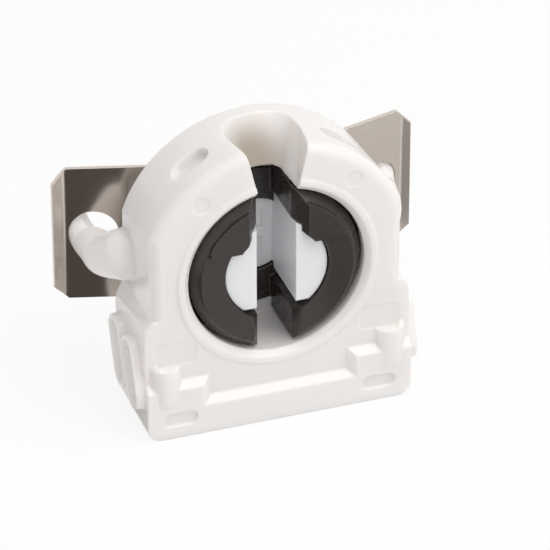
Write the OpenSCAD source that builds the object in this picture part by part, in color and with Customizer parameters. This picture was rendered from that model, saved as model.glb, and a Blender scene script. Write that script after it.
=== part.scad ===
// Rotor lamp holder for bi-pin tubes: a moulded arch housing, a turning rotor on a fixed core,
// two spring contacts with push-in wire entries and a sprung plate on the back.
// X runs across the front, Y runs back from the lamp side, Z is up. The origin lies on the base's
// bottom face, under the rotor axis and in line with the arch's front face.

/* [Lamp fit] */
// Radius of the fixed core that stands between the two lamp pins
core_r = 5.1; // [4.8:0.05:5.3]
// Width of the slot in the core and of the way down for the pins
core_slot_w = 3.9; // [3.4:0.1:4.2]
// Radial running clearance of the rotor on the core and in its rear bore
turn_gap = 0.08; // [0.04:0.01:0.1]

/* [Housing] */
// Height of the rotor axis above the base
axis_h = 16; // [15.6:0.2:18]
// Outer radius of the arch
arch_r = 13.6; // [13.3:0.1:14.5]
// How much smaller the arch is at its back
arch_draft = 0.5; // [0:0.1:0.7]
// Width across the arch's flat sides
side_w = 24.9; // [24.5:0.1:25.8]
// Width across the base
base_w = 26.6; // [26:0.2:28]
// Depth from the arch's front face to the back
depth = 9.2; // [8.8:0.1:10]
// How far the lower front band stands forward
band_out = 0.8; // [0.4:0.1:1.2]
// Corner radius at the bottom of the base
base_corner_r = 1.4; // [0.8:0.1:2]
// Thickness of the front wall over the contact chambers
front_wall = 1.3; // [1:0.1:1.5]
// Radius of the round along the arch's front edge
edge_round = 1; // [0.4:0.1:1.2]

/* [Notch] */
// Width of the notch where it meets the rotor opening
notch_w = 3.6; // [3.2:0.1:4]
// Width of the notch at the front of the arch's crown
notch_top_w = 5.8; // [5:0.1:6.6]
// Width of the notch at the back of the arch's crown
notch_back_w = 7.6; // [6.6:0.1:8.4]
// Depth of the notch where it meets the rotor opening
notch_low_depth = 5.2; // [4.6:0.1:6]
// Wall left behind the notch at the crown
notch_rear_wall = 1.4; // [0.8:0.1:1.8]

/* [Rotor] */
// Outer radius of the rotor's ring
rotor_r = 8.5; // [8.2:0.05:8.6]
// Gap between the ring and the opening round it
rotor_rim_gap = 0.25; // [0.15:0.05:0.35]
// Outer radius of the rotor's rear flange
flange_r = 7.4; // [7:0.05:7.6]
// Thickness of the rotor's rear flange
flange_t = 1; // [0.8:0.1:1.2]
// Radius of the core's stem, which the flange turns on
stem_r = 3.9; // [3.6:0.05:4.2]
// Width of the rotor's slot
rotor_slot_w = 3.5; // [3:0.1:3.8]
// Width of the bevel round the ring's front
rotor_bevel = 0.85; // [0.5:0.05:1.2]
// Height of the lugs that stand forward of the ring
lug_h = 0.35; // [0.2:0.05:0.4]

/* [Cover] */
// Thickness of the rear cover
cover_t = 1; // [0.8:0.1:1.2]
// Clearance round the cover in its recess
cover_gap = 0.06; // [0.03:0.01:0.12]

/* [Contacts] */
// Thickness of the contact strip
strip_t = 0.4; // [0.3:0.05:0.5]
// Width of the contact's blade beside the rotor
blade_w = 3; // [2.4:0.1:3.2]
// Gap between the contact's nose and the rotor at rest
nose_gap = 0.3; // [0.2:0.05:0.4]

/* [Wire entries] */
// Height of the wire entries above the base
entry_h = 6.4; // [6:0.1:6.8]
// Distance of the front wire entries behind the arch's front face
entry_front = 2.3; // [2.1:0.1:2.5]
// Distance between the two wire entries of one side
entry_pitch = 4; // [3.7:0.1:4.2]
// Radius of the round hole behind each funnel
entry_hole_r = 0.85; // [0.7:0.05:0.95]
// How far the entries stand out of the base's side
entry_out = 0.9; // [0.7:0.1:1.3]
// Lean of the long entries from upright, in degrees
entry_lean = 22; // [15:1:26]

/* [Spring plate] */
// Sheet thickness of the spring plate
plate_t = 0.4; // [0.3:0.05:0.6]
// Height of the spring plate
plate_h = 14.4; // [13:0.2:15.2]
// Half width of the flat middle of the plate
plate_flat = 3; // [2:0.2:4]
// Length of each wing along the sheet
wing_len = 14.5; // [14.2:0.1:15.6]
// Angle by which the wings sweep back, in degrees
wing_sweep = 16; // [12:0.5:18]
// Length of the bent lip at each end
lip_len = 1; // [0.7:0.1:1.5]
// Angle by which the lips turn forward from the wing, in degrees
lip_bend = 28; // [15:1:40]
// Radius of the holes that the hooks pass through
plate_hole_r = 2.4; // [2.4:0.05:2.8]

/* [Hooks] */
// Radius of the hook arm at its root
hook_root_r = 2.45; // [2.1:0.05:2.6]
// Radius of the hook where it passes the plate
hook_r = 1.1; // [0.9:0.05:1.15]

/* [Hidden] */

$fn = 96;
// Overlap that keeps cuts from ending on a face
eps = 0.02;
side_half = side_w / 2;
base_half = base_w / 2;
shoulder_high = axis_h - 3.2;
shoulder_low = shoulder_high - 0.8;
arch_back_r = arch_r - arch_draft;

// Depths along Y, from the lamp side
end_play = 0.1;
rotor_y = 0.1;
core_y = rotor_y + 0.4;
cover_y = depth - cover_t;
flange_y1 = cover_y - end_play;
ring_y1 = flange_y1 - flange_t;
step_y = ring_y1 + end_play;
head_y1 = ring_y1 - end_play;

// Radii that follow the fits
ring_bore_r = core_r + turn_gap;
opening_r = rotor_r + rotor_rim_gap;
flange_bore_r = flange_r + turn_gap;
stem_bore_r = stem_r + turn_gap;
cover_r = opening_r + 1.45;
rim_r = opening_r + 1.2;

// Contact chambers beside the rotor and terminal chambers below them
chamber_out = side_half - 0.85;
blade_x = opening_r + 0.35;
chamber_in = blade_x - 0.25;
terminal_in = chamber_out - 4;
chamber_top = axis_h + 4.6;
floor_t = 1.5;
blade_y0 = front_wall + 0.7;
strip_y0 = front_wall + 0.15;
strip_y1 = cover_y - 0.25;
nose_x = rotor_r + nose_gap;
terminal_low = floor_t + 0.3;
clamp_top = entry_h + entry_hole_r + 0.35;
tongue_tip = entry_h - entry_hole_r - 0.15;
terminal_top = clamp_top + strip_t + 0.8;

// Wire entries
entry_r = 1.35;
entry_wall = 0.35;
entry_half_len = 1.9;

// Plate and hooks
plate_y = depth;
hole_along = wing_len - 2.8;
hole_x = plate_flat + hole_along * cos(wing_sweep);
hole_y = plate_y + plate_t / 2 + hole_along * sin(wing_sweep);
// Middle line of the right hook, from the side wall through the plate's hole to the tip behind it
hook_points = [
    [side_half + 0.1, depth - 1.4, axis_h + 0.2],
    [side_half + 1.3, depth + 0.7, axis_h - 1],
    [hole_x + 0.1, hole_y - 1, axis_h - 0.75],
    [hole_x + 0.9, hole_y + 0.25, axis_h - 0.6],
    [hole_x + 1.2, hole_y + 1.2, axis_h + 0.35],
    [hole_x + 1.35, hole_y + 1.9, axis_h + 1.7]
];
hook_radii = [
    hook_root_r, hook_root_r - 0.45, hook_root_r - 0.9, hook_r, hook_r - 0.05, hook_r - 0.15
];

// Mirror images on the left and the right
module both_sides() {
    children();
    mirror([1, 0, 0]) children();
}

// Turns a flat figure drawn in x and z into a slab from y0 to y1
module slab(y0, y1) {
    translate([0, y1, 0])
        rotate([90, 0, 0])
            linear_extrude(height = y1 - y0)
                children();
}

// A straight bar of a folded strip's section, from p to q
module strip_leg(p, q, t) {
    d = q - p;
    translate(p)
        rotate(atan2(d[1], d[0]))
            translate([0, -t / 2])
                square([norm(d), t]);
}

// The section of a folded strip: straight legs with rounded bends
module strip_path(points, t) {
    for (i = [0:len(points) - 2])
        strip_leg(points[i], points[i + 1], t);
    for (p = points)
        translate(p) circle(d = t, $fn = 32);
}

// Outline of the base seen from the front, up to the shoulders where the arch begins
module base_outline() {
    r = base_corner_r;
    ridge = 2;
    polygon([
        [-base_half, r], [base_half, r], [base_half, shoulder_low - ridge],
        [base_half - 0.15, shoulder_low], [side_half, shoulder_high],
        [-side_half, shoulder_high], [0.15 - base_half, shoulder_low],
        [-base_half, shoulder_low - ridge]
    ]);
    translate([r - base_half, 0]) square([base_w - 2 * r, 2 * r]);
    for (s = [-1, 1])
        translate([s * (base_half - r), r]) circle(r = r);
}

// Disc with a round front edge and a slight draft to the back, about the rotor axis
module arch_disc() {
    translate([0, 0, axis_h])
        rotate([-90, 0, 0])
            rotate_extrude() {
                polygon([
                    [0, 0], [arch_r - edge_round, 0], [arch_r, edge_round],
                    [arch_back_r, depth], [0, depth]
                ]);
                translate([arch_r - edge_round, edge_round]) circle(r = edge_round, $fn = 48);
            }
}

// Plan of the flat-sided part, with round front corners
module side_plan() {
    translate([-side_half, edge_round]) square([side_w, depth - edge_round]);
    translate([edge_round - side_half, 0]) square([side_w - 2 * edge_round, depth]);
    for (s = [-1, 1])
        translate([s * (side_half - edge_round), edge_round]) circle(r = edge_round, $fn = 48);
}

// Body of the housing: arch and flat sides with a rounded front edge, on the wider base
module housing_body() {
    intersection() {
        linear_extrude(height = 2 * axis_h) side_plan();
        union() {
            arch_disc();
            translate([-side_half, 0, shoulder_high]) cube([side_w, depth, axis_h - shoulder_high]);
        }
    }
    slab(0, depth) base_outline();
}

// Lower front band: a middle panel and two taller end blocks with sloped ledges
module band() {
    ledge_mid = axis_h - 12.1;
    ledge_end = axis_h - 9.85;
    step_x = 6.9;
    intersection() {
        slab(-band_out, 1) base_outline();
        union() {
            rotate([90, 0, 90])
                translate([0, 0, -base_half])
                    linear_extrude(height = base_w)
                        band_section(ledge_mid);
            both_sides()
                difference() {
                    rotate([90, 0, 90])
                        translate([0, 0, step_x])
                            linear_extrude(height = base_half - step_x)
                                band_section(ledge_end);
                    translate([step_x, 0, 0])
                        linear_extrude(height = axis_h)
                            polygon([[-1, -band_out - 1], [band_out + 1, -band_out - 1], [-1, 1]]);
                }
        }
    }
}

// Section of the band in y and z, with its top sloping down to the front
module band_section(ledge) {
    polygon([[-band_out, 0], [1, 0], [1, ledge], [0, ledge], [-band_out, ledge - band_out]]);
}

// Half-round swelling over each front wire channel, with a sloped top and a round lower end
module front_swell() {
    swell_r = 1.5;
    swell_x = base_half - 2;
    swell_out = 0.3;
    low = axis_h - 11.6;
    top = axis_h - 8.2;
    translate([swell_x, swell_r - band_out - swell_out, low]) {
        cylinder(r = swell_r, h = top - low, $fn = 64);
        sphere(r = swell_r, $fn = 48);
        translate([0, 0, top - low]) cylinder(r1 = swell_r, r2 = 0.3, h = 1.2, $fn = 64);
    }
}

// One oblong cone: two cones with a wedge between them, along x
module long_cone(r0, r1, h, half_len) {
    for (s = [-1, 1])
        translate([0, 0, s * half_len])
            rotate([0, 90, 0])
                cylinder(r1 = r0, r2 = r1, h = h, $fn = 64);
    translate([0, 0, -half_len])
        linear_extrude(height = 2 * half_len)
            polygon([[0, -r0], [h, -r1], [h, r1], [0, r0]]);
}

// Places its child at both wire entries of the right side, leaning as they do
module at_entries() {
    for (i = [0, 1])
        translate([0, entry_front + i * entry_pitch, entry_h])
            rotate([-entry_lean, 0, 0])
                children();
}

// Raised collars of the wire entries
module entry_collars() {
    intersection() {
        at_entries()
            translate([base_half - 1, 0, 0])
                long_cone(entry_r + entry_wall + 0.25, entry_r + entry_wall, 1 + entry_out, entry_half_len);
        translate([0, -band_out, 0]) cube([2 * base_w, depth + band_out, axis_h]);
    }
}

// Funnels and round holes of the wire entries
module entry_cuts() {
    funnel_depth = 1.5;
    at_entries() {
        translate([base_half + entry_out - funnel_depth, 0, 0])
            long_cone(entry_hole_r * 0.8, entry_r * 1.02, funnel_depth + eps, entry_half_len);
        translate([chamber_out - 1, 0, 0])
            rotate([0, 90, 0])
                cylinder(r = entry_hole_r, h = base_half - chamber_out + 1.5, $fn = 64);
    }
}

// The shoulder's slope, which falls further towards the back
module shoulder_flank() {
    fall = 1.2;
    out = base_half + 1;
    polyhedron(
        points = [
            [side_half, 0.5, shoulder_high], [base_half, 0.5, shoulder_low], [out, 0.5, shoulder_high],
            [side_half, depth + 1, shoulder_high], [base_half, depth + 1, shoulder_low - fall],
            [out, depth + 1, shoulder_high]
        ],
        faces = [[0, 2, 1], [3, 4, 5], [0, 1, 4], [0, 4, 3], [1, 2, 5], [1, 5, 4], [0, 3, 5], [0, 5, 2]]
    );
}

// Round horn along points: balls joined by tapered rods, which end just inside the balls
module horn(points, radii) {
    inside = 0.95;
    for (i = [0:len(points) - 1])
        translate(points[i]) sphere(r = radii[i], $fn = 40);
    for (i = [0:len(points) - 2]) {
        step = points[i + 1] - points[i];
        translate(points[i])
            rotate([0, acos(step[2] / norm(step)), atan2(step[1], step[0])])
                cylinder(r1 = inside * radii[i], r2 = inside * radii[i + 1], h = norm(step), $fn = 40);
    }
}

// Hook: a horn that leaves the side wall, bends back and curls up behind the plate
module hook() {
    sunk = 0.6;
    intersection() {
        horn(hook_points, hook_radii);
        translate([side_half - sunk, 0, 0]) cube([base_w, 2 * base_w, 2 * axis_h]);
    }
}

// Value at height z on a line through a at the opening and b at the crown
function notch_at(z, a, b) = a + (b - a) * (z - opening_r) / (arch_r - opening_r);

// Way in for the lamp pins: straight walls that open upwards and backwards to a leaning back wall
module notch_cut() {
    low = opening_r - 2;
    high = arch_r + 2;
    corner_low = 0.9;
    corner_high = 1.9;
    hull()
        for (z = [low, high]) {
            front = notch_at(z, notch_w, notch_top_w);
            back = notch_at(z, notch_w, notch_back_w);
            corner = z == low ? corner_low : corner_high;
            back_y = notch_at(z, notch_low_depth, depth - notch_rear_wall);
            translate([-front / 2, -1, axis_h + z]) cube([front, eps, eps]);
            for (s = [-1, 1])
                translate([s * (back / 2 - corner), back_y - corner, axis_h + z])
                    cylinder(r = corner, h = eps, $fn = 40);
        }
}

// Long pockets in the crown, one on each side of the notch
module crown_pocket() {
    pocket_r = 1.25;
    pocket_half = 0.8;
    pocket_deep = 1.2;
    translate([0, 4, axis_h])
        rotate([0, 33.5, 0])
            translate([0, 0, arch_r - pocket_deep])
                linear_extrude(height = 3) {
                    for (s = [-1, 1])
                        translate([s * pocket_half, 0]) circle(r = pocket_r, $fn = 48);
                    translate([-pocket_half, -pocket_r]) square([2 * pocket_half, 2 * pocket_r]);
                }
}

// Room for the contacts: a tall chamber beside the rotor, a wide one at the wire entries
module contact_room() {
    slab(front_wall, cover_y + eps) {
        translate([chamber_in, floor_t])
            square([chamber_out - chamber_in, chamber_top - floor_t]);
        translate([terminal_in - 0.3, floor_t])
            square([chamber_out - terminal_in + 0.3, terminal_top - floor_t]);
    }
    translate([0, blade_y0 - 0.25, axis_h - 2.6])
        cube([chamber_in + 1, blade_w + 0.5, 5.2]);
}

// Recess that the cover fills from the back
module cover_outline(grow = 0) {
    low = floor_t - 0.2;
    translate([0, axis_h]) circle(r = cover_r + grow);
    translate([-chamber_out - 0.1 - grow, low - grow])
        square([2 * (chamber_out + 0.1 + grow), chamber_top - low + 2 * grow]);
}

// Shallow blank panels on the front, with rounded corners
module panel_plan() {
    w = 4.2;
    h = 2.6;
    r = 0.8;
    translate([8.1 + r, axis_h - 8.3]) square([w - 2 * r, h]);
    translate([8.1, axis_h - 8.3 + r]) square([w, h - 2 * r]);
    for (x = [r, w - r], z = [r, h - r])
        translate([8.1 + x, axis_h - 8.3 + z]) circle(r = r, $fn = 32);
}

// Shallow marks of the mould on the front: blank panels, pin marks and low ovals
module front_marks() {
    panel_deep = 0.08;
    pin_deep = 0.1;
    oval_deep = 0.35;
    oval_x = 10;
    oval_h = 2.1;
    oval_r = 0.7;
    slab(-1, panel_deep) panel_plan();
    slab(-1, pin_deep)
        translate([7.5, axis_h + 8.7]) circle(r = 0.9, $fn = 32);
    slab(-band_out - 1, oval_deep - band_out) {
        for (s = [-1, 1])
            translate([oval_x + s, oval_h]) circle(r = oval_r, $fn = 32);
        translate([oval_x - 1, oval_h - oval_r]) square([2, 2 * oval_r]);
    }
}

// Opening for the rotor: a chamfered mouth, a bore down to the step, and the bore that the rotor's flange runs in
module rotor_cut() {
    mouth = 0.45;
    translate([0, 0, axis_h])
        rotate([-90, 0, 0]) {
            translate([0, 0, -2]) cylinder(r = opening_r, h = step_y + 2);
            translate([0, 0, -mouth - 0.15])
                cylinder(r1 = opening_r + 2 * mouth + 0.15, r2 = opening_r, h = 2 * mouth + 0.15);
            translate([0, 0, -2]) cylinder(r = flange_bore_r, h = depth + 4);
        }
}

// Raised rim round the opening
module rotor_rim() {
    rim_out = 0.15;
    translate([0, 0, axis_h])
        rotate([-90, 0, 0])
            translate([0, 0, -rim_out]) cylinder(r = rim_r, h = 1);
}

module housing() color("whitesmoke") {
    difference() {
        union() {
            housing_body();
            band();
            rotor_rim();
            both_sides() {
                front_swell();
                entry_collars();
            }
        }
        rotor_cut();
        notch_cut();
        slab(cover_y, depth + 1) cover_outline(cover_gap);
        both_sides() {
            shoulder_flank();
            crown_pocket();
            contact_room();
            entry_cuts();
            front_marks();
        }
    }
    both_sides() hook();
}

// Rear cover, with a round seat for the core's stem
module rear_cover() color("whitesmoke") {
    seat_deep = 0.6;
    difference() {
        slab(cover_y, depth) cover_outline();
        translate([0, 0, axis_h])
            rotate([-90, 0, 0])
                translate([0, 0, cover_y - 1])
                    cylinder(r = stem_r + cover_gap, h = 1 + seat_deep);
    }
}

// Fixed core: two posts on a stem, whose head keeps the rotor in
module core() color("lavender") {
    core_low = 3.9;
    slot_floor = 7.4;
    window_deep = 0.3;
    difference() {
        translate([0, 0, axis_h])
            rotate([-90, 0, 0]) {
                translate([0, 0, core_y]) cylinder(r = core_r, h = head_y1 - core_y);
                translate([0, 0, core_y]) cylinder(r = stem_r, h = cover_y + 0.6 - core_y);
            }
        slab(core_y - 1, slot_floor)
            translate([-core_slot_w / 2, 0])
                square([core_slot_w, 2 * axis_h]);
        slab(core_y - 1, slot_floor)
            translate([-core_r, axis_h - core_low - 3])
                square([2 * core_r, 3]);
        slab(slot_floor - 1, slot_floor + window_deep)
            for (z = [axis_h - 2.4, axis_h + 0.6])
                translate([-core_slot_w / 4, z])
                    square([core_slot_w / 2, 2]);
    }
}

// Section of the rotor's ring and flange, in radius and depth
module rotor_section() {
    polygon([
        [ring_bore_r, rotor_y], [rotor_r - rotor_bevel, rotor_y],
        [rotor_r, rotor_y + rotor_bevel], [rotor_r, ring_y1],
        [flange_r, ring_y1], [flange_r, flange_y1], [stem_bore_r, flange_y1],
        [stem_bore_r, ring_y1], [ring_bore_r, ring_y1]
    ]);
}

// Lug beside the upper end of the slot, reaching in over the core
module lug_plan() {
    intersection() {
        difference() {
            circle(r = rotor_r - rotor_bevel);
            circle(r = core_r - 0.55);
        }
        translate([rotor_slot_w / 2, 2.8]) square([5, 4.9]);
    }
}

// Lead-in facets along both sides of the slot
module slot_lead(w, deep) {
    half = rotor_slot_w / 2;
    linear_extrude(height = rotor_r + 1)
        polygon([
            [-half - w - w / deep, rotor_y - lug_h - 1], [half + w + w / deep, rotor_y - lug_h - 1],
            [half, rotor_y + deep], [-half, rotor_y + deep]
        ]);
}

module rotor() color([0.24, 0.21, 0.2]) {
    translate([0, 0, axis_h])
        difference() {
            union() {
                rotate([-90, 0, 0]) rotate_extrude() rotor_section();
                both_sides()
                    slab(rotor_y - lug_h, rotor_y + eps) lug_plan();
                both_sides()
                    slab(rotor_y, core_y - 0.1)
                        intersection() {
                            lug_plan();
                            circle(r = ring_bore_r + 0.5);
                        }
            }
            slab(-2, ring_y1)
                translate([-rotor_slot_w / 2, -rotor_r - 1])
                    square([rotor_slot_w, 2 * rotor_r + 2]);
            slot_lead(1.1, 1.2);
            mirror([0, 0, 1]) slot_lead(0.7, 0.9);
        }
}

// Contact of one side, folded from one strip: a blade with a rounded nose towards the rotor,
// a box-shaped terminal and two spring tongues that grip the wires
module contact() {
    blade_mid = blade_x + strip_t / 2;
    blade_top = axis_h + 4;
    in_x = terminal_in + strip_t / 2;
    out_x = chamber_out - 0.35;
    fold_low = terminal_low + strip_t / 2;
    fold_top = clamp_top + strip_t / 2;
    slit = 0.5;
    nose_half = 1.9;
    nose_mid = nose_x + strip_t / 2;
    slab(blade_y0, blade_y0 + blade_w)
        strip_path([
            [blade_mid, fold_top], [blade_mid, axis_h - nose_half - 0.6], [nose_mid, axis_h - 0.5],
            [nose_mid, axis_h + 0.5], [blade_mid, axis_h + nose_half + 0.6], [blade_mid, blade_top]
        ], strip_t);
    slab(strip_y0, strip_y1)
        strip_path([
            [out_x - 0.4, fold_top], [in_x, fold_top], [in_x, fold_low], [out_x, fold_low]
        ], strip_t);
    difference() {
        slab(strip_y0, strip_y1)
            strip_path([[out_x, fold_low], [in_x + 1.3, tongue_tip]], strip_t);
        slab(entry_front + (entry_pitch - slit) / 2, entry_front + (entry_pitch + slit) / 2)
            translate([in_x, fold_low + 0.6]) square([chamber_out, entry_h]);
    }
}

module contact_left() color([0.8, 0.6, 0.35]) mirror([1, 0, 0]) contact();

module contact_right() color([0.8, 0.6, 0.35]) contact();

// Half of the plate's section seen from above: flat middle, swept wing and turned lip
module plate_section() {
    wing_x = plate_flat + wing_len * cos(wing_sweep);
    wing_y = wing_len * sin(wing_sweep);
    lip_a = wing_sweep - lip_bend;
    strip_path([
        [0, 0], [plate_flat, 0], [wing_x, wing_y],
        [wing_x + lip_len * cos(lip_a), wing_y + lip_len * sin(lip_a)]
    ], plate_t);
}

// Front view of the plate: a rectangle with cut corners
module plate_front() {
    corner = 1.5;
    end_x = plate_flat + wing_len * cos(wing_sweep) + lip_len + plate_t;
    reach = plate_flat + wing_len * cos(wing_sweep) + lip_len * cos(wing_sweep - lip_bend) + plate_t / 2;
    low = axis_h - plate_h / 2;
    high = axis_h + plate_h / 2;
    polygon([
        [-1, low], [reach - corner, low], [reach, low + corner], [end_x + 1, low + corner],
        [end_x + 1, high - corner], [reach, high - corner], [reach - corner, high], [-1, high]
    ]);
}

module spring_plate() color("silver") {
    translate([0, plate_y + plate_t / 2, 0])
        both_sides()
            difference() {
                intersection() {
                    linear_extrude(height = 2 * axis_h) plate_section();
                    slab(-2, 2 * depth) plate_front();
                }
                translate([hole_x, hole_y - plate_y - plate_t / 2, axis_h])
                    rotate([0, 0, wing_sweep])
                        rotate([90, 0, 0])
                            cylinder(r = plate_hole_r, h = 4, center = true);
            }
}

housing();
rear_cover();
core();
rotor();
contact_left();
contact_right();
spring_plate();
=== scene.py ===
import bmesh
import bpy
import numpy as np
from mathutils import Matrix, Vector


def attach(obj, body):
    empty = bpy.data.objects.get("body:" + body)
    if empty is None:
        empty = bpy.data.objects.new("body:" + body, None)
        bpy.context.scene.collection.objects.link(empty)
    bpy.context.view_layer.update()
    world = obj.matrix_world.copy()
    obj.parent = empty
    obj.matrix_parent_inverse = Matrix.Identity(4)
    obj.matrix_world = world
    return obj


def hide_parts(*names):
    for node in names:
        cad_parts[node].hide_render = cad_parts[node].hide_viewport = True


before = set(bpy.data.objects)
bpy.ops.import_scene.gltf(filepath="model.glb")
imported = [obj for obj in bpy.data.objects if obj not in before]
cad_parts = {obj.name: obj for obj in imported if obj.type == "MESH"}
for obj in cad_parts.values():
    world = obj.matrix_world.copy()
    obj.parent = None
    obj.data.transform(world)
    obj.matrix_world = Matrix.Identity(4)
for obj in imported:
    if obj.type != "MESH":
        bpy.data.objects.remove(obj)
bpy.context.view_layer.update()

scene = bpy.context.scene
scene.view_settings.view_transform = "Standard"
mm = 0.001

# Camera
#
# A long lens, to the object's left and above. The photograph's scale is 10.63 pixels a millimetre
# at the aim point, which it shows a little off the middle of the frame.
FRAME_PIXELS = 550
PIXELS_PER_MM = 10.63
AZIMUTH = np.radians(-19.2)
ELEVATION = np.radians(32.0)
DISTANCE = 0.412
SENSOR_MM = 36.0
AIM = Vector((0.0, 0.0, 0.015))
AIM_PIXEL = (278.3, 281.4)

towards_camera = Vector((
    np.sin(AZIMUTH) * np.cos(ELEVATION), -np.cos(AZIMUTH) * np.cos(ELEVATION), np.sin(ELEVATION)
))
camera_right = Vector((np.cos(AZIMUTH), np.sin(AZIMUTH), 0.0))
camera_up = towards_camera.cross(camera_right)
metres_per_pixel = mm / PIXELS_PER_MM
camera_data = bpy.data.cameras.new("camera")
camera_data.sensor_width = SENSOR_MM
camera_data.lens = SENSOR_MM * PIXELS_PER_MM / mm * DISTANCE / FRAME_PIXELS
camera_data.clip_start = 0.01
camera_data.clip_end = 20.0
camera = bpy.data.objects.new("camera", camera_data)
scene.collection.objects.link(camera)
camera.matrix_world = Matrix.Translation(
    AIM
    + towards_camera * DISTANCE
    - camera_right * (AIM_PIXEL[0] - FRAME_PIXELS / 2) * metres_per_pixel
    + camera_up * (AIM_PIXEL[1] - FRAME_PIXELS / 2) * metres_per_pixel
) @ Matrix((camera_right, camera_up, towards_camera)).transposed().to_4x4()
scene.camera = camera


# Studio
#
# A white room with one large soft light above, to the right and in front, and a white table.
# A dark card on the left and two grey ones on the right lie on it, seen only in reflections.
def area_light(name, place, aim, size, watts):
    """A square area light of the given side, turned to look at its aim point."""
    data = bpy.data.lights.new(name, "AREA")
    data.shape = "SQUARE"
    data.size = size
    data.energy = watts
    light = bpy.data.objects.new(name, data)
    light.matrix_world = (
        Matrix.Translation(place)
        @ (Vector(place) - Vector(aim)).to_track_quat("Z", "Y").to_matrix().to_4x4()
    )
    scene.collection.objects.link(light)


area_light("key_light", place=(0.15, -0.17, 0.40), aim=(0, 0, 0.01), size=0.34, watts=1.04)


def shown_ray(nodes, links, *outputs):
    """1 on the named rays of Light Path and 0 on all others: the largest of its outputs."""
    path = nodes.new("ShaderNodeLightPath")
    total = path.outputs[outputs[0]]
    for name in outputs[1:]:
        larger = nodes.new("ShaderNodeMath")
        larger.operation = "MAXIMUM"
        links.new(total, larger.inputs[0])
        links.new(path.outputs[name], larger.inputs[1])
        total = larger.outputs[0]
    return total


# The room's strength as it lights the object, and as it is seen.
ROOM_LIGHT = 0.61
ROOM_SEEN = 1.0
room = bpy.data.worlds.new("room")
room.use_nodes = True
scene.world = room
room_nodes, room_links = room.node_tree.nodes, room.node_tree.links
background = room_nodes["Background"]
background.inputs["Color"].default_value = (1.0, 0.985, 0.975, 1.0)
room_level = room_nodes.new("ShaderNodeMapRange")
room_level.inputs["To Min"].default_value = ROOM_LIGHT
room_level.inputs["To Max"].default_value = ROOM_SEEN
room_links.new(
    shown_ray(room_nodes, room_links, "Is Camera Ray", "Is Glossy Ray", "Is Transmission Ray"),
    room_level.inputs["Value"],
)
room_links.new(room_level.outputs["Result"], background.inputs["Strength"])


def white_table(share):
    """White paint, which the camera and mirrors see mixed with the given share of plain white."""
    material = bpy.data.materials.new("white table")
    material.use_nodes = True
    nodes, links = material.node_tree.nodes, material.node_tree.links
    nodes.clear()
    paint = nodes.new("ShaderNodeBsdfDiffuse")
    paint.inputs["Color"].default_value = (0.95, 0.94, 0.935, 1.0)
    glow = nodes.new("ShaderNodeEmission")
    level = nodes.new("ShaderNodeMath")
    level.operation = "MULTIPLY"
    level.inputs[1].default_value = share
    mix = nodes.new("ShaderNodeMixShader")
    out = nodes.new("ShaderNodeOutputMaterial")
    links.new(
        shown_ray(nodes, links, "Is Camera Ray", "Is Glossy Ray", "Is Transmission Ray"),
        level.inputs[0],
    )
    links.new(level.outputs[0], mix.inputs[0])
    links.new(paint.outputs[0], mix.inputs[1])
    links.new(glow.outputs[0], mix.inputs[2])
    links.new(mix.outputs[0], out.inputs["Surface"])
    return material


def flat_card(name, corners, material):
    """A stage card: one face through its four corners."""
    mesh = bpy.data.meshes.new(name)
    mesh.from_pydata(corners, [], [(0, 1, 2, 3)])
    mesh.materials.append(material)
    card = bpy.data.objects.new(name, mesh)
    scene.collection.objects.link(card)
    return card


def card_paint(name, low, high):
    """Matt paint with a faint cloud in it, between two colours."""
    material = bpy.data.materials.new(name)
    material.use_nodes = True
    nodes, links = material.node_tree.nodes, material.node_tree.links
    cloud = nodes.new("ShaderNodeTexNoise")
    cloud.inputs["Scale"].default_value = 40
    shade = nodes.new("ShaderNodeValToRGB")
    shade.color_ramp.elements[0].color = low
    shade.color_ramp.elements[1].color = high
    links.new(cloud.outputs["Fac"], shade.inputs["Fac"])
    links.new(shade.outputs["Color"], nodes["Principled BSDF"].inputs["Base Color"])
    nodes["Principled BSDF"].inputs["Roughness"].default_value = 0.9
    return material


def level_corners(left, right, near, far, height):
    """The four corners of a level rectangle, in turn."""
    return [(left, near, height), (right, near, height), (right, far, height), (left, far, height)]


TABLE_HALF = 1.5
TABLE_DROP = 0.05 * mm
flat_card(
    "table",
    level_corners(-TABLE_HALF, TABLE_HALF, -TABLE_HALF, TABLE_HALF, -TABLE_DROP),
    white_table(share=0.86),
)
CARD_RISE = 0.02 * mm
dark_brown = card_paint("dark brown card", (0.055, 0.044, 0.04, 1.0), (0.07, 0.056, 0.051, 1.0))
grey = card_paint("grey card", (0.72, 0.70, 0.68, 1.0), (0.80, 0.78, 0.76, 1.0))
dark_grey = card_paint("dark grey card", (0.30, 0.285, 0.27, 1.0), (0.35, 0.335, 0.32, 1.0))
# Each card's left, right, near and far edges in millimetres, and its paint.
for name, left, right, near, far, paint in (
    ("left_card", -50, -13.5, -50, 7, dark_brown),
    ("right_card", 25, 60, -40, 15, grey),
    ("lip_card", 11, 19, -40, -3, dark_grey),
):
    corners = level_corners(left * mm, right * mm, near * mm, far * mm, CARD_RISE)
    card = flat_card(name, corners, paint)
    card.visible_camera = False
    card.visible_diffuse = False
    card.visible_shadow = False
    card.visible_transmission = False


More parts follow.
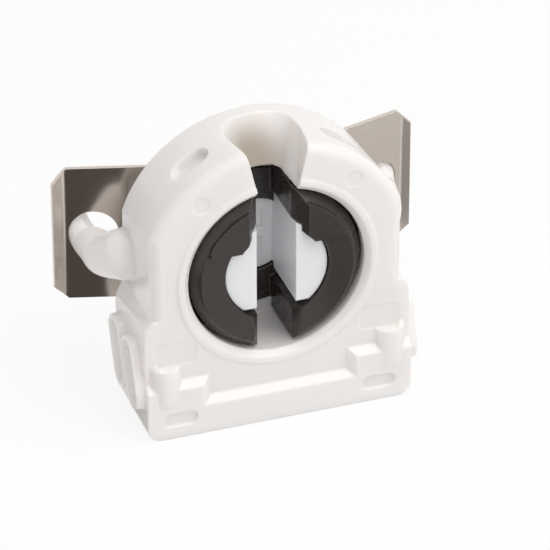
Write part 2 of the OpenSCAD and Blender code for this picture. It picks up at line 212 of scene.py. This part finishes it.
# Housing
#
# One injection moulding in glossy white thermoplastic, slightly translucent, with a small round on
# every edge. The arch, the base and the two hooks are moulded in one piece.
def swept_horn(points, radii, squareness, steps, sides, least_x):
    """A bar along a smooth path, closed by a round cap at both ends, as corners and faces.

    The path is a Catmull-Rom curve through the points. Around it, the section at angle a lies at
    radius r / (|cos a|^n + |sin a|^n)^(1/n), which is a circle at n = 2 and squarer above it, and
    r runs straight from each point's radius to the next. No corner has an x below least_x.
    """
    knots = np.array([2 * points[0] - points[1], *points, 2 * points[-1] - points[-2]])
    at = np.linspace(0, len(points) - 1, steps)
    first = np.minimum(at.astype(int), len(points) - 2)
    u = (at - first)[:, None]
    before, here, there, after = (knots[first + k] for k in range(4))
    path = 0.5 * (
        2 * here + (there - before) * u + (2 * before - 5 * here + 4 * there - after) * u**2
        + (3 * here - 3 * there + after - before) * u**3
    )
    radius = np.interp(at, np.arange(len(points)), radii)
    along = np.gradient(path, axis=0)
    along /= np.linalg.norm(along, axis=1, keepdims=True)
    cap_rings = 8
    cap = np.linspace(0, np.pi / 2, cap_rings + 1)[1:]
    path = np.concatenate((
        path[0] - along[0] * radius[0] * np.sin(cap[::-1, None]),
        path,
        path[-1] + along[-1] * radius[-1] * np.sin(cap[:, None]),
    ))
    along = np.concatenate((
        np.repeat(along[:1], cap_rings, 0),
        along,
        np.repeat(along[-1:], cap_rings, 0),
    ))
    radius = np.concatenate((radius[0] * np.cos(cap[::-1]), radius, radius[-1] * np.cos(cap)))
    across = np.cross(along, (1.0, 0.0, 0.0))
    across /= np.linalg.norm(across, axis=1, keepdims=True)
    over = np.cross(across, along)
    angle = np.linspace(0, 2 * np.pi, sides, endpoint=False)
    sum_of_powers = np.abs(np.cos(angle)) ** squareness + np.abs(np.sin(angle)) ** squareness
    reach = sum_of_powers ** (-1 / squareness)
    corners = path[:, None] + radius[:, None, None] * (
        (reach * np.cos(angle))[:, None] * across[:, None]
        + (reach * np.sin(angle))[:, None] * over[:, None]
    )
    corners[..., 0] = np.maximum(corners[..., 0], least_x)
    ring, side = np.meshgrid(np.arange(len(path) - 1), np.arange(sides), indexing="ij")
    here = ring * sides + side
    beside = ring * sides + (side + 1) % sides
    faces = np.stack((here, beside, beside + sides, here + sides), axis=-1).reshape(-1, 4)
    return corners.reshape(-1, 3), faces


def mirrored(corners, faces):
    """The same shape on the object's other side, with its faces turned to stay outwards."""
    return corners * (-1, 1, 1), faces[:, ::-1]


def moulded_copy(node, name, grain, passes, most_faces, additions=()):
    """A copy of a CAD node as a moulding with soft edges, with further shapes fused to it.

    The node's loose triangles are merged, wrapped in an even skin of squares whose side is grain,
    relaxed a few passes so that each edge and corner gets a round of about that size, and thinned
    to at most most_faces triangles. Lengths are in millimetres while this is done.
    """
    touching = 0.001
    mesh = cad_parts[node].data.copy()
    mesh.transform(Matrix.Scale(1 / mm, 4))
    joined = bmesh.new()
    joined.from_mesh(mesh)
    for corners, faces in additions:
        addition = bpy.data.meshes.new(name)
        addition.from_pydata(corners, [], faces)
        joined.from_mesh(addition)
        bpy.data.meshes.remove(addition)
    joined.to_mesh(mesh)
    joined.free()
    work = bpy.data.objects.new(name, mesh)
    scene.collection.objects.link(work)
    weld = work.modifiers.new("weld", "WELD")
    weld.merge_threshold = touching
    skin = work.modifiers.new("skin", "REMESH")
    skin.mode = "VOXEL"
    skin.voxel_size = grain
    skin.use_smooth_shade = True
    relax = work.modifiers.new("relax", "SMOOTH")
    relax.factor = 0.5
    relax.iterations = passes
    bpy.context.view_layer.update()
    count = len(work.evaluated_get(bpy.context.evaluated_depsgraph_get()).data.polygons) * 2
    if count > most_faces:
        thin = work.modifiers.new("thin", "DECIMATE")
        thin.ratio = most_faces / count
    bpy.context.view_layer.update()
    finished = work.evaluated_get(bpy.context.evaluated_depsgraph_get())
    done = bpy.data.meshes.new_from_object(finished)
    done.transform(Matrix.Scale(mm, 4))
    done.materials.clear()
    bpy.data.objects.remove(work)
    piece = bpy.data.objects.new(name, done)
    scene.collection.objects.link(piece)
    return piece


# The sockets of a Mix node that hold its two colours and the mixed one.
COLOUR_A = 6
COLOUR_B = 7
COLOUR_OUT = 2


def moulded_plastic(name, colour, shade, roughness, sheen_spread, depth_mm, glow):
    """Moulded plastic: a colour that drifts a little, a fine skin and a slightly uneven gloss.

    The drift, the skin and the gloss are noises on object coordinates. The share glow of the light
    enters the surface and spreads by about depth_mm below it.
    """
    material = bpy.data.materials.new(name)
    material.use_nodes = True
    nodes, links = material.node_tree.nodes, material.node_tree.links
    shader = nodes["Principled BSDF"]
    place = nodes.new("ShaderNodeTexCoord")

    def noise(scale, detail):
        made = nodes.new("ShaderNodeTexNoise")
        made.inputs["Scale"].default_value = scale
        made.inputs["Detail"].default_value = detail
        links.new(place.outputs["Object"], made.inputs["Vector"])
        return made

    mix = nodes.new("ShaderNodeMix")
    mix.data_type = "RGBA"
    mix.inputs[COLOUR_A].default_value = colour
    mix.inputs[COLOUR_B].default_value = shade
    links.new(noise(scale=260, detail=3).outputs["Fac"], mix.inputs["Factor"])
    links.new(mix.outputs[COLOUR_OUT], shader.inputs["Base Color"])
    gloss = nodes.new("ShaderNodeMapRange")
    gloss.inputs["To Min"].default_value = roughness - sheen_spread
    gloss.inputs["To Max"].default_value = roughness + sheen_spread
    links.new(noise(scale=900, detail=2).outputs["Fac"], gloss.inputs["Value"])
    links.new(gloss.outputs["Result"], shader.inputs["Roughness"])
    grain = nodes.new("ShaderNodeBump")
    grain.inputs["Strength"].default_value = 0.12
    grain.inputs["Distance"].default_value = 0.03 * mm
    links.new(noise(scale=2600, detail=4).outputs["Fac"], grain.inputs["Height"])
    links.new(grain.outputs["Normal"], shader.inputs["Normal"])
    shader.inputs["Subsurface Weight"].default_value = glow
    shader.inputs["Subsurface Radius"].default_value = (1.0, 0.88, 0.75)
    shader.inputs["Subsurface Scale"].default_value = depth_mm * mm
    return material


# The right hook's arm, in millimetres: out of the side wall, through the plate's hole and up into
# a curl behind it. Its root ends flat, just inside the wall.
WALL_X = 12.45
HOOK_SINK = 0.5
HOOK_PATH = np.array([
    (12.55, 7.8, 16.1), (13.85, 9.9, 15.1), (14.5, 11.45, 15.2),
    (15.05, 12.9, 15.4), (15.4, 13.8, 16.35), (15.6, 14.5, 17.7),
])
HOOK_RADII = np.array([2.55, 2.1, 1.72, 1.4, 1.2, 0.98])
hook = swept_horn(
    HOOK_PATH, HOOK_RADII, squareness=2.4, steps=90, sides=48, least_x=WALL_X - HOOK_SINK
)
housing = moulded_copy(
    "housing", "housing_moulding",
    grain=0.09, passes=2, most_faces=195000, additions=(hook, mirrored(*hook)),
)
white = moulded_plastic(
    "white moulding", colour=(0.90, 0.875, 0.86, 1.0), shade=(0.87, 0.845, 0.83, 1.0),
    roughness=0.24, sheen_spread=0.04, depth_mm=1.1, glow=0.6,
)


def painted_notch_shade(material, centre, reach, tint):
    """Multiplies the colour by tint around a point, fading out smoothly at reach from it.

    This is painted shade: it darkens the notch's low part above the rotor, where shade falls in
    the recess. At distance d the tint's share is the smooth step of (1 - d / reach) / full_from.
    """
    full_from = 0.8
    nodes, links = material.node_tree.nodes, material.node_tree.links
    shader = nodes["Principled BSDF"]
    plain = shader.inputs["Base Color"].links[0].from_socket
    place = nodes.new("ShaderNodeTexCoord")
    about = nodes.new("ShaderNodeMapping")
    about.inputs["Location"].default_value = [-c / reach for c in centre]
    about.inputs["Scale"].default_value = [1 / reach] * 3
    ball = nodes.new("ShaderNodeTexGradient")
    ball.gradient_type = "SPHERICAL"
    ease = nodes.new("ShaderNodeMapRange")
    ease.interpolation_type = "SMOOTHSTEP"
    ease.inputs["From Max"].default_value = full_from
    shade = nodes.new("ShaderNodeMix")
    shade.data_type = "RGBA"
    shade.blend_type = "MULTIPLY"
    shade.inputs[COLOUR_B].default_value = tint
    links.new(place.outputs["Object"], about.inputs["Vector"])
    links.new(about.outputs["Vector"], ball.inputs["Vector"])
    links.new(ball.outputs["Fac"], ease.inputs["Value"])
    links.new(ease.outputs["Result"], shade.inputs["Factor"])
    links.new(plain, shade.inputs[COLOUR_A])
    links.new(shade.outputs[COLOUR_OUT], shader.inputs["Base Color"])


# Painted shade on the housing, deep in the notch above the rotor.
painted_notch_shade(
    white, centre=(-0.7 * mm, 6.2 * mm, 25.2 * mm), reach=4.7 * mm, tint=(0.52, 0.47, 0.40, 1.0)
)
housing.data.materials.append(white)
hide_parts("housing")
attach(housing, "holder")


# Rear cover and core
#
# Two mouldings in a cooler, slightly greyish white: the cover snaps into the housing's back and
# carries the core, whose two posts stand between the lamp's pins.
cool_white = moulded_plastic(
    "cool white moulding", colour=(0.85, 0.865, 0.88, 1.0), shade=(0.82, 0.835, 0.855, 1.0),
    roughness=0.3, sheen_spread=0.04, depth_mm=0.5, glow=0.15,
)
for node, grain in (("rear_cover", 0.12), ("core", 0.07)):
    piece = moulded_copy(node, node + "_moulding", grain=grain, passes=2, most_faces=90000)
    piece.data.materials.append(cool_white)
    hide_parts(node)
    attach(piece, "holder")


# Rotor
#
# A ring in dark brown thermoset with a slot through it for the pins. It is moulded apart, goes in
# from behind and turns a quarter turn each way about the core.
rotor = moulded_copy("rotor", "rotor_moulding", grain=0.08, passes=2, most_faces=150000)
rotor.data.materials.append(moulded_plastic(
    "dark moulding", colour=(0.034, 0.025, 0.022, 1.0), shade=(0.026, 0.019, 0.017, 1.0),
    roughness=0.27, sheen_spread=0.06, depth_mm=0.2, glow=0.0,
))
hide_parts("rotor")
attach(rotor, "rotor")


# Contacts
#
# Two strips of rolled bronze, folded on a press. Only their noses show, through the rotor's slot
# when it is turned.
def rolled_metal(name, colour, shade, roughness, spread, streak, along):
    """Rolled sheet: fine streaks along the rolling direction in colour, gloss and height.

    The streaks are a noise of scale streak on object coordinates times along, so a small number in
    along draws them out in that direction.
    """
    material = bpy.data.materials.new(name)
    material.use_nodes = True
    nodes, links = material.node_tree.nodes, material.node_tree.links
    shader = nodes["Principled BSDF"]
    shader.inputs["Metallic"].default_value = 1.0
    place = nodes.new("ShaderNodeTexCoord")
    stretch = nodes.new("ShaderNodeMapping")
    stretch.inputs["Scale"].default_value = along
    links.new(place.outputs["Object"], stretch.inputs["Vector"])
    lines = nodes.new("ShaderNodeTexNoise")
    lines.inputs["Scale"].default_value = streak
    lines.inputs["Detail"].default_value = 4
    links.new(stretch.outputs["Vector"], lines.inputs["Vector"])
    mix = nodes.new("ShaderNodeMix")
    mix.data_type = "RGBA"
    mix.inputs[COLOUR_A].default_value = colour
    mix.inputs[COLOUR_B].default_value = shade
    links.new(lines.outputs["Fac"], mix.inputs["Factor"])
    links.new(mix.outputs[COLOUR_OUT], shader.inputs["Base Color"])
    gloss = nodes.new("ShaderNodeMapRange")
    gloss.inputs["To Min"].default_value = roughness - spread
    gloss.inputs["To Max"].default_value = roughness + spread
    links.new(lines.outputs["Fac"], gloss.inputs["Value"])
    links.new(gloss.outputs["Result"], shader.inputs["Roughness"])
    grain = nodes.new("ShaderNodeBump")
    grain.inputs["Strength"].default_value = 0.08
    grain.inputs["Distance"].default_value = 0.01 * mm
    links.new(lines.outputs["Fac"], grain.inputs["Height"])
    links.new(grain.outputs["Normal"], shader.inputs["Normal"])
    return material


bronze = rolled_metal(
    "rolled bronze", colour=(0.66, 0.44, 0.23, 1.0), shade=(0.56, 0.37, 0.19, 1.0),
    roughness=0.28, spread=0.06, streak=900, along=(1, 1, 0.05),
)
for node in ("contact_left", "contact_right"):
    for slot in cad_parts[node].material_slots:
        slot.material = bronze


# Spring plate
#
# One blank of bright stainless spring steel, punched and folded: the two wings sweep back and
# their lips are turned forward. It snaps over the hooks and grips the luminaire's sheet.
def folded_half(half_flat, wing, lip, half_high, corner, hole_at, hole_r, bends, middle_y, axis_z):
    """One half of the plate's middle surface: a flat blank with a round hole, then folded.

    On the blank, each ray runs from the hole's rim straight to a point of the outline, and the
    corners lie evenly along the rays. The fold turns distance s from the middle into x and y by
    summing cos h and sin h, where the heading h changes by each bend's angle, evenly over the
    bend's width. Each bend is a place, a width and an angle in degrees.
    """
    spacing = 0.3
    ray_points = 61
    fold_points = 4001
    end = half_flat + wing + lip
    outline = np.array([
        (0, -half_high), (end - corner, -half_high), (end, corner - half_high),
        (end, half_high - corner), (end - corner, half_high), (0, half_high), (0, -half_high),
    ])
    stretches = [
        np.linspace(a, b, max(2, int(np.ceil(np.linalg.norm(b - a) / spacing))), endpoint=False)
        for a, b in zip(outline, outline[1:])
    ]
    outer = np.concatenate(stretches)
    centre = np.array((hole_at, 0.0))
    towards = outer - centre
    inner = centre + hole_r * towards / np.linalg.norm(towards, axis=1, keepdims=True)
    share = np.linspace(0, 1, ray_points)[:, None, None]
    blank = inner + (outer - inner) * share
    distance = np.linspace(0, end, fold_points)
    heading = sum(
        np.radians(angle) * np.clip((distance - at) / width + 0.5, 0, 1)
        for at, width, angle in bends
    )
    stride = distance[1]
    fold_x = np.cumsum(np.cos(heading)) * stride - stride
    fold_y = np.cumsum(np.sin(heading)) * stride
    corners = np.stack((
        np.interp(blank[..., 0], distance, fold_x),
        middle_y + np.interp(blank[..., 0], distance, fold_y),
        axis_z + blank[..., 1],
    ), axis=-1)
    rays = len(outer)
    step, ray = np.meshgrid(np.arange(len(share) - 1), np.arange(rays), indexing="ij")
    here = step * rays + ray
    beside = step * rays + (ray + 1) % rays
    faces = np.stack((here, here + rays, beside + rays, beside), axis=-1).reshape(-1, 4)
    return corners.reshape(-1, 3), faces


# The plate's sizes in millimetres. It lies against the housing's back, level with the rotor.
SHEET = 0.4
EDGE_ROUND = 0.1
HALF_FLAT = 3.0
WING = 14.5
BACK_Y = 9.2
AXIS_Z = 16.0
right_half = folded_half(
    half_flat=HALF_FLAT, wing=WING, lip=1.2, half_high=7.2, corner=1.5, hole_at=14.7, hole_r=2.4,
    bends=((HALF_FLAT, 2.4, 16), (HALF_FLAT + WING, 0.9, -28)),
    middle_y=BACK_Y + SHEET / 2, axis_z=AXIS_Z,
)
left_half = mirrored(*right_half)
plate_mesh = bpy.data.meshes.new("folded_plate")
plate_mesh.from_pydata(
    np.concatenate((right_half[0], left_half[0])) * mm, [],
    np.concatenate((right_half[1], left_half[1] + len(right_half[0]))),
)
merged = bmesh.new()
merged.from_mesh(plate_mesh)
bmesh.ops.remove_doubles(merged, verts=merged.verts, dist=0.001 * mm)
bmesh.ops.recalc_face_normals(merged, faces=merged.faces)
for face in merged.faces:
    face.smooth = True
merged.to_mesh(plate_mesh)
merged.free()
plate = bpy.data.objects.new("folded_plate", plate_mesh)
scene.collection.objects.link(plate)
wall = plate.modifiers.new("wall", "SOLIDIFY")
wall.thickness = SHEET * mm
wall.offset = 0
edge = plate.modifiers.new("edge", "BEVEL")
edge.width = EDGE_ROUND * mm
edge.segments = 3
edge.limit_method = "ANGLE"
edge.angle_limit = np.radians(50)
shading = plate.modifiers.new("shading", "WEIGHTED_NORMAL")
shading.weight = 90
plate_mesh.materials.append(rolled_metal(
    "bright spring steel", colour=(0.66, 0.61, 0.56, 1.0), shade=(0.60, 0.55, 0.505, 1.0),
    roughness=0.18, spread=0.03, streak=700, along=(0.04, 0.04, 1),
))
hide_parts("spring_plate")
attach(plate, "holder")
